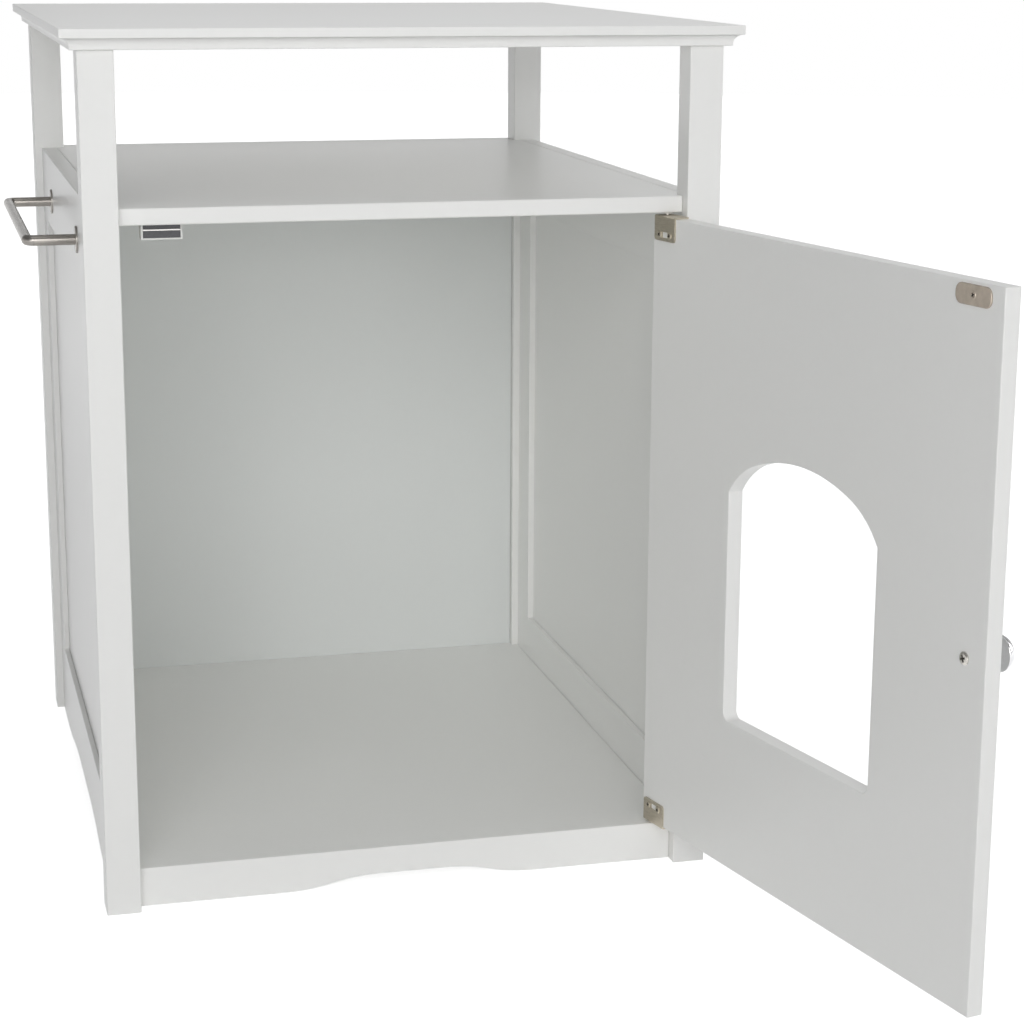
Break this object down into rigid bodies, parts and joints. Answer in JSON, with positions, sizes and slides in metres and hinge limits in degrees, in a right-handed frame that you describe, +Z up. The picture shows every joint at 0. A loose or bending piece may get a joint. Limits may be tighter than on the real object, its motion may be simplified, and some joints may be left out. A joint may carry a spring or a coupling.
{
  "type": "cat litter box cabinet",
  "caption": "White painted cabinet that hides a litter box: moulded top, open shelf bay, side-hinged door with an arched cat opening, and a towel bar on one side.",
  "frame": {"origin": "on the floor, under the middle of the whole object's box with the door open as pictured", "axes": "+X to the right as seen from the front, +Y to the back, +Z up"},
  "size_m": [0.571, 0.91, 0.637],
  "materials": {
    "white_paint": "satin white paint on board",
    "painted_panel": "satin white paint on thin board",
    "bare_wood": "bare fluted-dowel beech",
    "chrome": "polished",
    "brushed_bar": "brushed nickel",
    "hinge_nickel": "satin nickel",
    "strike_steel": "plated",
    "screw_steel": "nickel plated",
    "bush_plastic": "moulded",
    "catch_plastic": "moulded white",
    "magnet": "sintered ferrite, dark grey"
  },
  "bodies": {
    "cabinet": {"apron_dowels": "bare_wood", "back_bar_flange": "brushed_bar", "back_dowels": "bare_wood", "back_panel": "white_paint", "catch_housing": "catch_plastic", "catch_magnets": "magnet", "catch_screws": "screw_steel", "catch_steel": "strike_steel", "floor_dowels": "bare_wood", "floor_panel": "white_paint", "front_apron": "white_paint", "front_bar_flange": "brushed_bar", "left_back_stile": "white_paint", "left_front_stile": "white_paint", "left_low_rail": "white_paint", "left_side_panel": "painted_panel", "left_top_rail": "white_paint", "lower_pivot_bush": "bush_plastic", "post_back_left": "white_paint", "post_back_right": "white_paint", "post_front_left": "white_paint", "post_front_right": "white_paint", "right_back_stile": "white_paint", "right_front_stile": "white_paint", "right_low_rail": "white_paint", "right_side_panel": "painted_panel", "right_top_rail": "white_paint", "shelf": "white_paint", "shelf_dowels": "bare_wood", "stile_dowels": "bare_wood", "top_dowels": "bare_wood", "top_panel": "white_paint", "towel_bar": "brushed_bar", "towel_bar_screws": "screw_steel", "upper_pivot_bush": "bush_plastic"},
    "door_leaf": {"door": "white_paint", "upper_hinge_bracket": "hinge_nickel", "lower_hinge_bracket": "hinge_nickel", "upper_pivot_pin": "hinge_nickel", "lower_pivot_pin": "hinge_nickel", "upper_hinge_screws": "screw_steel", "lower_hinge_screws": "screw_steel", "knob": "chrome", "knob_screw": "screw_steel", "strike_plate": "strike_steel", "strike_screw": "screw_steel"}
  },
  "joints": [
    {"name": "door_hinge", "type": "hinge", "parent": "cabinet", "child": "door_leaf", "pos_m": [0.17247, -0.06704, 0.2665], "axis": [0, 0, 1], "range_deg": [-103, 3]}
  ]
}
